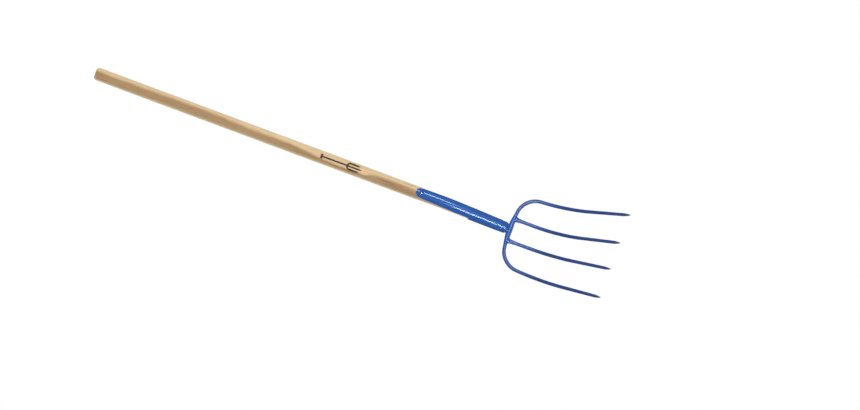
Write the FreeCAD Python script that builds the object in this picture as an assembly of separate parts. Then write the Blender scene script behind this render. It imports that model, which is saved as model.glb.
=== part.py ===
"""Four-tine hay fork: ash handle, pressed socket with a long front strap, and a forged and welded tine head.

Millimetres. +X runs along the handle towards the tines, +Z is up out of the hollow side of the tines
and +Y goes across them to the left. The origin is on the handle's axis, half way along its bare
straight part.
"""

import FreeCAD
import Part
import math
import os

V = FreeCAD.Vector
UP = V(0, 0, 1)
FAR = 400.0  # larger than anything that has to be cut away
QUARTER_ROUND = math.sqrt(0.5)  # share of a rounding's width and height reached at its middle

# ---- handle and socket ---------------------------------------------------------------------------
HANDLE_RADIUS = 18.0  # bare shaft
BARE_LENGTH = 940.0  # from the butt to the tip of the strap
BUTT_ROUNDING = 9.0
STRAP_TO_BAR = 277.7  # from the tip of the strap to the middle of the crossbar

SHEET = 1.8  # socket steel
SOCKET_INNER_RADIUS = 16.7  # along the strap and as far as the bend's end
NOSE_INNER_RADIUS = 14.6  # where the socket begins to close
STRAP_LENGTH = 160.0  # from its tip to the mouth of the full wrap
STRAP_TIP_RADIUS = 15.2  # all strap widths are measured round the curve of the sheet
STRAP_HALF_WIDTHS = (  # beyond its round end: (distance from the tip, half width)
    (40.0, 17.4),
    (75.0, 19.8),
    (110.0, 21.0),
    (163.0, 21.6),
)
STRAP_SKEW = math.radians(4.0)  # strap and rivet sit this much round to the right of the handle's top
NOSE_LENGTH = 7.5
NOSE_FLAT_RADIUS = 12.0
NOSE_GAP = 1.0  # between the nose and the back of the crossbar, bridged by the weld
SOCKET_WELD_HALF_WIDTH = 13.2
SOCKET_WELD_HALF_THICKNESS = 6.9
SOCKET_WELD_LAP = 1.3  # by which the bead runs back over the nose
SOCKET_WELD_LENGTH = 6.0
SOCKET_WELD_ROUNDING = 2.2
SEAM_GAP = 3.0  # open seam along the underside
FIT = 0.05  # clearance of each close-fitting surface
RECESS_MARGIN = 0.25  # by which the strap's recess in the wood is wider than the strap
WOOD_END_GAP = 6.0  # between the end of the wood and where the socket begins to close

BEND_START = 30.0  # beyond the tip of the strap
BEND_LENGTH = 90.0
BEND_ANGLE = math.radians(5.0)  # the head drops by this angle from the handle's line

# ---- tine head -----------------------------------------------------------------------------------
BAR_HALF_DEPTH = 7.9  # crossbar at its middle, along X
BAR_HALF_THICKNESS = 4.9
TINE_ROOT_RADIUS = 4.75
TINE_END_RADIUS = 4.1  # where the point begins
POINT_LENGTH = 19.0
POINT_RADIUS = 0.8
TINE_REACH = 296.3  # from the middle of the crossbar to the points, along X

BAR_RADIUS = 400.0  # the crossbar is a slight bow
BAR_HALF_SPAN = 56.5  # out to here
SHOULDER_RADIUS = 57.3  # and then turns through this radius into the outer tines
OUTER_HEADING = math.radians(3.6)  # outwards, where the shoulder ends
OUTER_LEAN = math.radians(3.1)  # and the plane in which the tine sweeps up leans outwards by this
INNER_ROOT_Y = 32.2
INNER_ROOT_HALF_WIDTH = 6.9
INNER_ROOT_HALF_THICKNESS = 4.3
INNER_ROOT_LENGTH = 36.0  # over which the flattened root turns into the round tine
INNER_LEAN = math.radians(4.25)
INNER_WELD_STATIONS = (  # (distance in front of the crossbar's middle, half width, half thickness)
    (3.4, 9.8, 4.15),
    (6.2, 8.5, 4.75),
    (9.0, 7.6, 4.8),
    (11.8, 7.0, 4.55),
)

RISE_START = 62.0  # the tines are level up to here in front of the crossbar's middle
RISE_RADIUS = 245.0
OUTER_RISE_ANGLE = math.radians(31.7)
INNER_RISE_ANGLE = math.radians(32.6)

# ---- rivet ---------------------------------------------------------------------------------------
RIVET_FROM_TIP = 15.0
RIVET_RADIUS = 2.0
RIVET_HEAD_RADIUS = 3.1
RIVET_HEAD_HEIGHT = 1.9
RIVET_HEAD_RIM = 0.4  # straight edge under its round top
RIVET_DIMPLE_RADIUS = 5.2  # conical seat pressed into the strap round the head
RIVET_DIMPLE_DEPTH = 1.0
RIVET_TAIL_RADIUS = 3.4
RIVET_TAIL_HEIGHT = 1.7
WASHER_RADIUS = 6.5
WASHER_THICKNESS = 1.4
WASHER_SINK = 1.2  # depth of its flat seat in the wood
WASHER_SEAT_MARGIN = 0.3

# ---- places that follow from them ----------------------------------------------------------------
BUTT_X = -BARE_LENGTH / 2
TIP_X = BARE_LENGTH / 2
MOUTH_X = TIP_X + STRAP_LENGTH
BEND_START_X = TIP_X + BEND_START
BEND_END_X = BEND_START_X + BEND_LENGTH
BAR_X = TIP_X + STRAP_TO_BAR
NOSE_END_X = BAR_X - BAR_HALF_DEPTH - NOSE_GAP
NOSE_X = NOSE_END_X - NOSE_LENGTH
WOOD_END_X = NOSE_X - WOOD_END_GAP
RIVET_X = TIP_X + RIVET_FROM_TIP
RIVET_SEAT_Z = SOCKET_INNER_RADIUS + SHEET - RIVET_DIMPLE_DEPTH


def spread(start, end, count):
    return [start + (end - start) * i / (count - 1) for i in range(count)]


def joined(pieces):
    return pieces[0].fuse(pieces[1:]).removeSplitter()


def oval(centre, direction, half_width, half_thickness):
    """Oval wire square to direction, its width level."""
    level = UP.cross(direction).normalize()
    upright = direction.cross(level).normalize()
    if abs(half_width - half_thickness) < 1e-6:
        curve = Part.Circle(centre, direction, half_width)
        curve.XAxis = level
    else:
        curve = Part.Ellipse(centre + level * half_width, centre + upright * half_thickness, centre)
    return Part.Wire(curve.toShape())


def loft(wires):
    return Part.makeLoft(wires, True, len(wires) == 2)


# ---- the neck: the line that handle and socket follow --------------------------------------------
def neck(x):
    """Point of the neck's centre line at x, and its direction there."""
    radius = BEND_LENGTH / math.sin(BEND_ANGLE)
    run = x - BEND_START_X
    if run <= 0:
        return V(x, 0, 0), V(1, 0, 0)
    angle = BEND_ANGLE if run >= BEND_LENGTH else math.asin(run / radius)
    drop = radius * (1 - math.cos(angle)) + max(0.0, run - BEND_LENGTH) * math.tan(BEND_ANGLE)
    return V(x, 0, -drop), V(math.cos(angle), 0, -math.sin(angle))


def neck_solid(profile):
    """Round solid along the neck through (x, radius) corners, smooth where the neck bends."""
    pieces = []
    for (x0, r0), (x1, r1) in zip(profile, profile[1:]):
        bends = x0 < BEND_END_X - 0.01 and x1 > BEND_START_X + 0.01
        wires = []
        for x in spread(x0, x1, 5 if bends else 2):
            centre, direction = neck(x)
            radius = r0 + (r1 - r0) * (x - x0) / (x1 - x0)
            wires.append(oval(centre, direction, radius, radius))
        pieces.append(loft(wires))
    return joined(pieces)


def skewed(shape):
    """Turns a shape made square on top of the handle round to where the strap is."""
    shape = shape.copy()
    shape.rotate(V(0, 0, 0), V(1, 0, 0), math.degrees(STRAP_SKEW))
    return shape


def on_neck(shape, x):
    """Moves a shape made about +X at the origin to the neck's centre line at x."""
    shape = shape.copy()
    shape.Placement = FreeCAD.Placement(neck(x)[0], FreeCAD.Rotation(V(0, 1, 0), math.degrees(BEND_ANGLE)))
    return shape


def socket_inner_radius(x):
    share = max(0.0, (x - BEND_END_X) / (NOSE_X - BEND_END_X))
    return SOCKET_INNER_RADIUS + share * (NOSE_INNER_RADIUS - SOCKET_INNER_RADIUS)


def socket_profile(extra):
    corners = [TIP_X - STRAP_TIP_RADIUS, BEND_START_X, BEND_END_X, NOSE_X]
    return [(x, socket_inner_radius(x) + extra) for x in corners]


def wood_radius(x):
    """Full size up to the strap, then tapered to enter the socket's mouth."""
    fitted = socket_inner_radius(MOUTH_X) - FIT
    if x >= MOUTH_X:
        return socket_inner_radius(x) - FIT
    return HANDLE_RADIUS + (fitted - HANDLE_RADIUS) * (x - TIP_X) / STRAP_LENGTH


# ---- handle --------------------------------------------------------------------------------------
def make_handle():
    shaft = Part.makeCylinder(HANDLE_RADIUS, BARE_LENGTH, V(BUTT_X, 0, 0), V(1, 0, 0))
    butt_edge = [e for e in shaft.Edges if e.BoundBox.XMax < BUTT_X + 1]
    shaft = shaft.makeFillet(BUTT_ROUNDING, butt_edge)
    corners = [TIP_X, BEND_START_X, BEND_END_X, MOUTH_X, WOOD_END_X]
    tapered = neck_solid([(x, wood_radius(x)) for x in corners])
    wood = joined([shaft, tapered])
    rivet_hole = Part.makeCylinder(RIVET_RADIUS + FIT, FAR, V(RIVET_X, 0, -FAR / 2))
    seat_centre = V(RIVET_X, 0, WASHER_SINK - HANDLE_RADIUS)
    washer_seat = Part.makeCylinder(WASHER_RADIUS + WASHER_SEAT_MARGIN, FAR, seat_centre, -UP)
    return wood.cut([make_strap_recess(), skewed(rivet_hole), skewed(washer_seat)])


def make_strap_recess():
    """Room in the wood for the strap, a little wider all round than the strap itself."""
    around = neck_solid(socket_profile(FAR / 20))
    inside = neck_solid(socket_profile(-FIT))
    return around.cut(inside).common(strap_wedge(RECESS_MARGIN))


# ---- socket --------------------------------------------------------------------------------------
def strap_wedge(margin):
    """Everything above the axis within the strap's outline, its sides square to the sheet all round."""
    outer = SOCKET_INNER_RADIUS + SHEET
    stations = []
    for turn in spread(math.radians(7), math.pi / 2, 9):
        stations.append((STRAP_TIP_RADIUS * (1 - math.cos(turn)), STRAP_TIP_RADIUS * math.sin(turn)))
    stations.extend(STRAP_HALF_WIDTHS)
    wires = []
    for run, half_width in stations:
        share = run / STRAP_LENGTH
        x = TIP_X + run - margin * (1 - min(1.0, share))
        axis = neck(x)[0]
        spread_angle = (half_width + margin) / outer
        corners = [axis]
        for angle, reach in ((-spread_angle, FAR / 6), (0.0, FAR / 4), (spread_angle, FAR / 6)):
            turned = angle - STRAP_SKEW
            corners.append(axis + V(0, math.sin(turned), math.cos(turned)) * reach)
        wires.append(Part.makePolygon(corners + [axis]))
    return Part.makeLoft(wires, True, True)


def nose(extra):
    """Rounded end of the socket's outside (extra 0) or inside (extra -SHEET), about +X from the origin."""
    radius = NOSE_INNER_RADIUS + SHEET + extra
    length = NOSE_LENGTH + extra
    flat = NOSE_FLAT_RADIUS + extra / 2
    edges = [
        Part.makeLine(V(0, 0, 0), V(0, radius, 0)),
        Part.Arc(
            V(0, radius, 0),
            V(length * QUARTER_ROUND, flat + (radius - flat) * QUARTER_ROUND, 0),
            V(length, flat, 0),
        ).toShape(),
        Part.makeLine(V(length, flat, 0), V(length, 0, 0)),
        Part.makeLine(V(length, 0, 0), V(0, 0, 0)),
    ]
    return Part.Face(Part.Wire(edges)).revolve(V(0, 0, 0), V(1, 0, 0), 360)


def make_socket():
    outside = joined([neck_solid(socket_profile(SHEET)), on_neck(nose(0), NOSE_X)])
    inside = joined([neck_solid(socket_profile(0)), on_neck(nose(-SHEET), NOSE_X)])
    wrap = Part.makeBox(FAR, FAR, FAR, V(MOUTH_X, -FAR / 2, -FAR / 2))
    kept = strap_wedge(0).fuse(wrap)
    seam = Part.makeBox(NOSE_X - MOUTH_X, SEAM_GAP, FAR, V(MOUTH_X, -SEAM_GAP / 2, -FAR))
    rivet_hole = Part.makeCylinder(RIVET_RADIUS + FIT, FAR, V(RIVET_X, 0, 0))
    sheet = outside.cut(inside).common(kept)
    slope = (RIVET_DIMPLE_RADIUS - RIVET_HEAD_RADIUS) / RIVET_DIMPLE_DEPTH
    height = 3 * RIVET_DIMPLE_DEPTH
    seat = V(RIVET_X, 0, RIVET_SEAT_Z)
    dimple = Part.makeCone(RIVET_HEAD_RADIUS, RIVET_HEAD_RADIUS + slope * height, height, seat)
    return sheet.cut([seam, skewed(rivet_hole), skewed(dimple)])


# ---- tine head -----------------------------------------------------------------------------------
BAR_CENTRE = neck(BAR_X)[0]


def bar_point(heading):
    """Centre line of the bow's crossbar, from heading 0 at its middle."""
    return BAR_CENTRE + V(BAR_RADIUS * (1 - math.cos(heading)), BAR_RADIUS * math.sin(heading), 0)


def make_bar():
    last = math.asin(BAR_HALF_SPAN / BAR_RADIUS)
    wires = []
    for heading in spread(-last, last, 9):
        share = abs(heading) / last
        share = share * share * (3 - 2 * share)
        half_width = BAR_HALF_DEPTH + share * (TINE_ROOT_RADIUS - BAR_HALF_DEPTH)
        half_thickness = BAR_HALF_THICKNESS + share * (TINE_ROOT_RADIUS - BAR_HALF_THICKNESS)
        direction = V(math.sin(heading), math.cos(heading), 0)
        wires.append(oval(bar_point(heading), direction, half_width, half_thickness))
    return loft(wires)


def make_shoulder():
    """Left shoulder of the bow and the place where it ends."""
    first = math.asin(BAR_HALF_SPAN / BAR_RADIUS)
    last = math.pi / 2 - OUTER_HEADING
    start = bar_point(first)
    pivot = start + V(math.cos(first), -math.sin(first), 0) * SHOULDER_RADIUS
    circle = oval(start, V(math.sin(first), math.cos(first), 0), TINE_ROOT_RADIUS, TINE_ROOT_RADIUS)
    bend = Part.Face(circle).revolve(pivot, V(0, 0, -1), math.degrees(last - first))
    end = pivot + V(-math.cos(last), math.sin(last), 0) * SHOULDER_RADIUS
    return bend, end


def tine_pieces(start, heading, lean, rise_angle):
    """Round tine from start: level, swept up, then straight to a sharpened point."""
    ahead = V(math.cos(heading), math.sin(heading), 0)
    rising = V(-math.sin(heading) * math.sin(lean), math.cos(heading) * math.sin(lean), math.cos(lean))
    level = (RISE_START - (start.x - BAR_X)) / ahead.x
    stations = [(start, ahead, 0.0), (start + ahead * level, ahead, level)]
    for angle in spread(0, rise_angle, 7)[1:]:
        offset = ahead * (RISE_RADIUS * math.sin(angle)) + rising * (RISE_RADIUS * (1 - math.cos(angle)))
        direction = ahead * math.cos(angle) + rising * math.sin(angle)
        stations.append((stations[1][0] + offset, direction, level + RISE_RADIUS * angle))
    centre, direction, travelled = stations[-1]
    straight = (BAR_X + TINE_REACH - centre.x) / direction.x - POINT_LENGTH
    stations.append((centre + direction * straight, direction, travelled + straight))
    total = stations[-1][2]
    wires = []
    for centre, direction, travelled in stations:
        radius = TINE_ROOT_RADIUS + (TINE_END_RADIUS - TINE_ROOT_RADIUS) * travelled / total
        wires.append(oval(centre, direction, radius, radius))
    point = Part.makeCone(TINE_END_RADIUS, POINT_RADIUS, POINT_LENGTH, stations[-1][0], direction)
    return [loft(wires[:2]), loft(wires[1:-1]), loft(wires[-2:]), point]


def mirrored(shape):
    return shape.mirror(V(0, 0, 0), V(0, 1, 0))


def make_bow():
    shoulder, end = make_shoulder()
    left = joined([shoulder] + tine_pieces(end, OUTER_HEADING, OUTER_LEAN, OUTER_RISE_ANGLE))
    return joined([make_bar(), left, mirrored(left)])


def make_inner_tine():
    """Left inner tine, with its flattened root inside the crossbar."""
    start = BAR_CENTRE + V(0, INNER_ROOT_Y, 0)
    wires = []
    for run in spread(0, INNER_ROOT_LENGTH, 5):
        share = run / INNER_ROOT_LENGTH
        share = share * share * (3 - 2 * share)
        half_width = INNER_ROOT_HALF_WIDTH + share * (TINE_ROOT_RADIUS - INNER_ROOT_HALF_WIDTH)
        half_thickness = INNER_ROOT_HALF_THICKNESS + share * (TINE_ROOT_RADIUS - INNER_ROOT_HALF_THICKNESS)
        wires.append(oval(start + V(run, 0, 0), V(1, 0, 0), half_width, half_thickness))
    tine = tine_pieces(start + V(INNER_ROOT_LENGTH, 0, 0), 0.0, INNER_LEAN, INNER_RISE_ANGLE)
    return joined([loft(wires)] + tine)


def make_inner_tine_weld():
    """Hollow-sided collar round the left inner tine's root, running out on the crossbar's front."""
    start = BAR_CENTRE + V(0, INNER_ROOT_Y, 0)
    wires = []
    for run, half_width, half_thickness in INNER_WELD_STATIONS:
        wires.append(oval(start + V(run, 0, 0), V(1, 0, 0), half_width, half_thickness))
    return loft(wires)


def make_socket_weld():
    """Bead in the groove round the socket's nose where it meets the back of the crossbar."""
    centre, direction = neck(NOSE_END_X - SOCKET_WELD_LAP)
    outline = oval(centre, direction, SOCKET_WELD_HALF_WIDTH, SOCKET_WELD_HALF_THICKNESS)
    pad = Part.Face(outline).extrude(direction * SOCKET_WELD_LENGTH)
    return pad.makeFillet(SOCKET_WELD_ROUNDING, [e for e in pad.Edges if len(e.Vertexes) == 1])


# ---- rivet ---------------------------------------------------------------------------------------
def dome(radius, height):
    """Round-topped button standing on the XY plane."""
    ball = (radius**2 + height**2) / (2 * height)
    sphere = Part.makeSphere(ball, V(0, 0, height - ball))
    return sphere.common(Part.makeCylinder(radius, height + 1))


def make_rivet():
    tail_top = WASHER_SINK - HANDLE_RADIUS - WASHER_THICKNESS
    head = Part.makeCylinder(RIVET_HEAD_RADIUS - FIT, RIVET_HEAD_RIM, V(RIVET_X, 0, RIVET_SEAT_Z))
    button = dome(RIVET_HEAD_RADIUS - FIT, RIVET_HEAD_HEIGHT - RIVET_HEAD_RIM)
    button.translate(V(RIVET_X, 0, RIVET_SEAT_Z + RIVET_HEAD_RIM))
    tail = dome(RIVET_TAIL_RADIUS, RIVET_TAIL_HEIGHT)
    tail.rotate(V(0, 0, 0), V(1, 0, 0), 180)
    tail.translate(V(RIVET_X, 0, tail_top))
    shank = Part.makeCylinder(RIVET_RADIUS, RIVET_SEAT_Z - tail_top, V(RIVET_X, 0, tail_top))
    return skewed(joined([head, button, shank, tail]))


def make_washer():
    bottom = V(RIVET_X, 0, WASHER_SINK - HANDLE_RADIUS - WASHER_THICKNESS)
    disc = Part.makeCylinder(WASHER_RADIUS, WASHER_THICKNESS, bottom)
    return skewed(disc.cut(Part.makeCylinder(RIVET_RADIUS + FIT, WASHER_THICKNESS, bottom)))


# ---- assembly ------------------------------------------------------------------------------------
def main():
    os.makedirs("parts", exist_ok=True)
    bow = make_bow()
    inner = make_inner_tine().cut(bow)
    weld = make_inner_tine_weld().cut([bow, inner])
    socket = make_socket()
    pieces = {
        "handle": make_handle(),
        "socket": socket,
        "tine_bow": bow,
        "inner_tine_left": inner,
        "inner_tine_right": mirrored(inner),
        "socket_weld": make_socket_weld().cut([bow, socket]),
        "inner_tine_welds": Part.Compound(weld.Solids + mirrored(weld).Solids),
        "strap_rivet": make_rivet(),
        "rivet_washer": make_washer(),
    }
    for name, shape in pieces.items():
        print(name, "solids", len(shape.Solids), "valid", shape.isValid(), "volume", round(shape.Volume, 1))
        shape.exportStep(f"parts/{name}.step")


main()
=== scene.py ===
"""Looks of the four-tine hay fork: varnished ash, blue enamel over forged steel, and a bright zinc rivet.

The frame is the CAD model's: +X along the handle towards the tines, +Z up, +Y across the tines. Sizes of
the steel head are in millimetres, and everything else is in metres.
"""

import math

import bpy
from mathutils import Matrix, Vector, noise


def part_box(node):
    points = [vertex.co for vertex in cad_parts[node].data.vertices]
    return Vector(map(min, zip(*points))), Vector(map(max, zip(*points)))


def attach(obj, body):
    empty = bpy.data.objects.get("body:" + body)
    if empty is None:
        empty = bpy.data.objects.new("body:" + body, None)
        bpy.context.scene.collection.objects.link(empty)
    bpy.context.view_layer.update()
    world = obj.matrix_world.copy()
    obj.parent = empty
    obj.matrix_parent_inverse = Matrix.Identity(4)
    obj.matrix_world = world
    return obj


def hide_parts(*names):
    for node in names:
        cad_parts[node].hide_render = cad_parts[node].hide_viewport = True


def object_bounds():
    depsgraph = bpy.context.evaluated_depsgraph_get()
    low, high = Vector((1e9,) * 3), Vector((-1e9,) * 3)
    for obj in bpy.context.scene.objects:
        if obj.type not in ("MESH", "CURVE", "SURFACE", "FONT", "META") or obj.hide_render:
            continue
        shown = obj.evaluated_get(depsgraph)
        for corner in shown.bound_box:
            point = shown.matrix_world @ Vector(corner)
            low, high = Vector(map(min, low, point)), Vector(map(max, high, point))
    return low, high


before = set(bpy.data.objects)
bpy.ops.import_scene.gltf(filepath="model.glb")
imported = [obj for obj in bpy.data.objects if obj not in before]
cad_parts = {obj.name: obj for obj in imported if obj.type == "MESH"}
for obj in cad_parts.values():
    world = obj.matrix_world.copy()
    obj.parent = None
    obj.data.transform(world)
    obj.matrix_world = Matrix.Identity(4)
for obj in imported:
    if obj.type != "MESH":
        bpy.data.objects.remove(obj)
CAD_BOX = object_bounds()

MM = 0.001
UP = Vector((0, 0, 1))
ACROSS = Vector((0, 1, 0))

# ---- socket, in millimetres -----------------------------------------------------------------------
SHEET = 1.8
SOCKET_RADIUS = 18.5  # outside, as far as the end of the bend
NOSE_RADIUS = 16.4  # outside, where the nose begins
NOSE_LENGTH = 7.5
NOSE_FLAT_RADIUS = 12.0
NOSE_GAP = 1.0
CREASE_FROM_BAR = 19.5  # the socket is pressed in a little this far from the crossbar's back
CREASE_LENGTH = 1.6
CREASE_DEPTH = 0.5
EDGE_ROUNDING = 0.45
STRAP_LENGTH = 160.0
STRAP_TIP_RADIUS = 15.2
STRAP_HALF_WIDTHS = ((15.2, 15.2), (40.0, 17.4), (75.0, 19.8), (110.0, 21.0), (163.0, 21.6))
STRAP_SKEW = math.radians(4.0)  # the strap sits this much round to the right
SEAM_GAP = 3.0
BEND_START = 30.0  # beyond the tip of the strap
BEND_LENGTH = 90.0
BEND_ANGLE = math.radians(5.0)
RIVET_FROM_TIP = 15.0
DIMPLE_FLOOR = 3.1
DIMPLE_RADIUS = 6.0
DIMPLE_DEPTH = 1.1
WELD_AHEAD = 0.9  # of the nose's end, to the middle of the socket's weld
WELD_HALF_WIDTH = 10.9  # of the line that the bead's middle follows
WELD_HALF_THICKNESS = 4.7
BEAD_OUTWARD = 2.3  # half the bead's section
BEAD_AHEAD = 2.8
BEAD_RIPPLES = 9  # on each half of the bead
BEAD_COLUMNS = 220  # of its mesh, all round
BEAD_ROWS = 20
STRAP_RINGS = 20  # mesh rings of the strap's tip, and columns each side of its middle
TIP_COLUMNS = 40
SIDE_COLUMNS = 18

# ---- tine head, in millimetres --------------------------------------------------------------------
BAR_HALF_DEPTH = 7.9
BAR_HALF_THICKNESS = 4.9
BAR_RADIUS = 400.0
BAR_HALF_SPAN = 56.5
SHOULDER_RADIUS = 57.3
TINE_ROOT_RADIUS = 4.75
BEND_SWELL = 0.4  # the bar is this much thicker in the middle of its two bends
PAINT_THICKNESS = 0.2
UNEVENNESS = ((17, 0.14), (5, 0.05))  # of the steel: (wavelength, height)
BEND_SPACING = 2.5  # of the mesh's rings, along crossbar and bends
TINE_SPACING = 3.0
POINT_SPACING = 1.2
TUBE_SIDES = 32
INNER_WELD_SIDES = 96
RIPPLE_HEIGHT = 0.42
RIPPLE_SINK = 0.15
RIPPLE_ROUGHNESS = 0.08
TINE_END_RADIUS = 4.1
POINT_LENGTH = 19.0
POINT_RADIUS = 0.8
OUTER_HEADING = math.radians(3.6)
OUTER_LEAN = math.radians(3.1)
OUTER_RISE_ANGLE = math.radians(31.7)
INNER_LEAN = math.radians(4.25)
INNER_RISE_ANGLE = math.radians(32.6)
INNER_ROOT_HALF_WIDTH = 6.9
INNER_ROOT_HALF_THICKNESS = 4.3
INNER_ROOT_START = 3.0  # in front of the crossbar's middle, so that the root begins inside the bar
INNER_ROOT_LENGTH = 36.0
RISE_START = 62.0
RISE_RADIUS = 245.0
INNER_WELD_PROFILE = (  # (distance in front of the crossbar's middle, half width, half thickness)
    (3.0, 9.9, 4.2),
    (4.6, 9.5, 5.0),
    (6.2, 8.8, 5.35),
    (7.8, 8.1, 5.3),
    (9.4, 7.6, 5.1),
    (11.0, 7.15, 4.8),
    (12.2, 6.6, 4.45),
)

# ---- places in millimetres, from the frame --------------------------------------------------------
BOW_LOW, BOW_HIGH = (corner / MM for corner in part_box("tine_bow"))
BAR_CENTRE = Vector((BOW_LOW.x + BAR_HALF_DEPTH, 0, BOW_LOW.z + BAR_HALF_THICKNESS))
INNER_ROOT_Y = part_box("inner_tine_left")[0].y / MM + INNER_ROOT_HALF_WIDTH
TIP_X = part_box("socket")[0].x / MM
MOUTH_X = TIP_X + STRAP_LENGTH
BEND_START_X = TIP_X + BEND_START
BEND_END_X = BEND_START_X + BEND_LENGTH
NOSE_END_X = BOW_LOW.x - NOSE_GAP
NOSE_X = NOSE_END_X - NOSE_LENGTH
CREASE_X = BOW_LOW.x - CREASE_FROM_BAR


# ---- node trees -----------------------------------------------------------------------------------
class Tree:
    """A material's nodes. Inputs that are sockets are linked, and other inputs are set."""

    def __init__(self, name):
        self.material = bpy.data.materials.new(name)
        self.material.use_nodes = True
        self.nodes = self.material.node_tree.nodes
        self.links = self.material.node_tree.links
        self.nodes.clear()

    def give(self, socket, value):
        if isinstance(value, bpy.types.NodeSocket):
            self.links.new(value, socket)
        else:
            socket.default_value = value

    def add(self, kind, inputs=None, **settings):
        made = self.nodes.new(kind)
        for key, value in settings.items():
            setattr(made, key, value)
        for key, value in (inputs or {}).items():
            self.give(made.inputs[key], value)
        return made

    def math(self, operation, *values):
        made = self.add("ShaderNodeMath", operation=operation)
        for socket, value in zip(made.inputs, values):
            self.give(socket, value)
        return made.outputs[0]

    def vector(self, operation, *values):
        made = self.add("ShaderNodeVectorMath", operation=operation)
        for socket, value in zip(made.inputs, values):
            self.give(socket, value)
        return made.outputs["Value" if operation == "DOT_PRODUCT" else "Vector"]

    def ramp(self, factor, low, high):
        """0 at low, 1 at high, smooth in between; low may be the larger one."""
        made = self.add("ShaderNodeMapRange", interpolation_type="SMOOTHSTEP")
        flipped = low > high
        self.give(made.inputs["Value"], factor)
        self.give(made.inputs["From Min"], min(low, high))
        self.give(made.inputs["From Max"], max(low, high))
        self.give(made.inputs["To Min"], 1.0 if flipped else 0.0)
        self.give(made.inputs["To Max"], 0.0 if flipped else 1.0)
        return made.outputs["Result"]

    def mix(self, factor, first, second):
        made = self.add("ShaderNodeMix", data_type="RGBA")
        self.give(made.inputs["Factor"], factor)
        self.give(made.inputs[6], first)
        self.give(made.inputs[7], second)
        return made.outputs[2]

    def tint(self, colour, mask, strength, tone):
        """Colour turned towards tone by mask times strength."""
        return self.mix(self.math("MULTIPLY", mask, strength), colour, tone)

    def noise(self, vector, scale, detail=3.0, roughness=0.5):
        inputs = {"Vector": vector, "Scale": scale, "Detail": detail, "Roughness": roughness}
        return self.add("ShaderNodeTexNoise", inputs).outputs["Fac"]

    def stretched_noise(self, vector, scales, detail=3.0, roughness=0.5):
        """Noise with its own scale along each axis."""
        return self.noise(self.vector("MULTIPLY", vector, scales), 1.0, detail, roughness)

    def bump(self, height, distance, strength):
        inputs = {"Height": height, "Distance": distance, "Strength": strength}
        return self.add("ShaderNodeBump", inputs).outputs["Normal"]

    def finish(self, **inputs):
        named = {key.replace("_", " "): value for key, value in inputs.items()}
        surface = self.add("ShaderNodeBsdfPrincipled", named)
        output = self.add("ShaderNodeOutputMaterial")
        self.links.new(surface.outputs[0], output.inputs["Surface"])
        return self.material


def rgb(red, green, blue):
    """Linear colour from 8-bit screen values."""
    def linear(value):
        share = value / 255
        return share / 12.92 if share <= 0.04045 else ((share + 0.055) / 1.055) ** 2.4
    return (linear(red), linear(green), linear(blue), 1.0)


# ---- materials ------------------------------------------------------------------------------------
HEARTWOOD = rgb(184, 150, 105)
SAPWOOD = rgb(241, 207, 160)
UNDER_SAPWOOD = rgb(168, 130, 84)
RED_CLOUD = rgb(158, 108, 76)
FLECK = rgb(146, 100, 62)
BROAD_SHADE = rgb(170, 134, 94)
EARLY_WOOD = rgb(160, 124, 84)
FIBRE = rgb(232, 205, 164)
PORE = rgb(112, 80, 50)
# painted sheen: paler towards the handle's outlines, as if they reflected the floor
PAINTED_RIM_SHEEN = rgb(216, 198, 160)
INK = rgb(32, 26, 22)

GRAIN_TURN = math.radians(40)  # growth layers lie square to this direction round the handle
RINGS_PER_METRE = 360.0
SAPWOOD_EDGE = (0.0069, 0.0151)  # across the growth layers, where heartwood turns into sapwood
CUTTER_PITCH = 0.0045
FIGURE_START = -0.02
FIGURE_END = 0.48
FIGURE_REACH = 0.012  # the farthest that the figure line may reach
FIGURE_LINE = (  # (place along the handle, how far the pale sapwood reaches down there)
    (-0.02, 0.0),
    (0.06, 0.0002),
    (0.10, 0.0007),
    (0.14, 0.0032),
    (0.18, 0.0066),
    (0.21, 0.0086),
    (0.25, 0.0102),
    (0.31, 0.0098),
    (0.335, 0.0030),
    (0.36, 0.0006),
    (0.40, 0.0),
    (0.48, 0.0),
)
FLECKS = (  # darker clouds in the wood, the last one darker along the lower edge of the handle's right part: (place, height, half length, half height, strength)
    (0.120, 0.0002, 0.060, 0.0034, 0.30),
    (0.410, 0.0040, 0.080, 0.0042, 0.30),
    (0.150, -0.0080, 0.055, 0.0040, 0.30),
    (0.262, -0.0100, 0.045, 0.0042, 0.55),
    (0.385, -0.0012, 0.034, 0.0042, 0.75),
    (0.430, -0.0050, 0.060, 0.0060, 0.45),
    (0.448, 0.0136, 0.028, 0.0022, 0.45),
    (0.022, 0.0158, 0.016, 0.0016, 0.35),
    (0.470, -0.0130, 0.160, 0.0050, 0.60),
)
MARK_FACING = math.radians(72)  # the printed mark faces this far up from the right-hand side
MARK_START = 0.190
MARK_HEIGHT = 0.0030  # its middle, above the line that faces the viewer
MARK_LENGTH = 0.122  # to the point of the middle tine
MARK_STROKE = 0.0024  # half width of its lines
MARK_HEAD = 0.086  # middle of the round back of its head
MARK_HEAD_RADIUS = 0.0082
MARK_POINT = 0.012
MARK_GRIP = ((0.0, -0.0068), (0.006, 0.0068))  # corners of the cross grip


def box_mask(t, along, upward, low, high, soft=0.0005):
    """1 inside a printed bar from corner low to corner high."""
    sides = (
        t.ramp(along, low[0] - soft, low[0] + soft),
        t.ramp(along, high[0] + soft, high[0] - soft),
        t.ramp(upward, low[1] - soft, low[1] + soft),
        t.ramp(upward, high[1] + soft, high[1] - soft),
    )
    mask = sides[0]
    for side in sides[1:]:
        mask = t.math("MULTIPLY", mask, side)
    return mask


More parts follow.
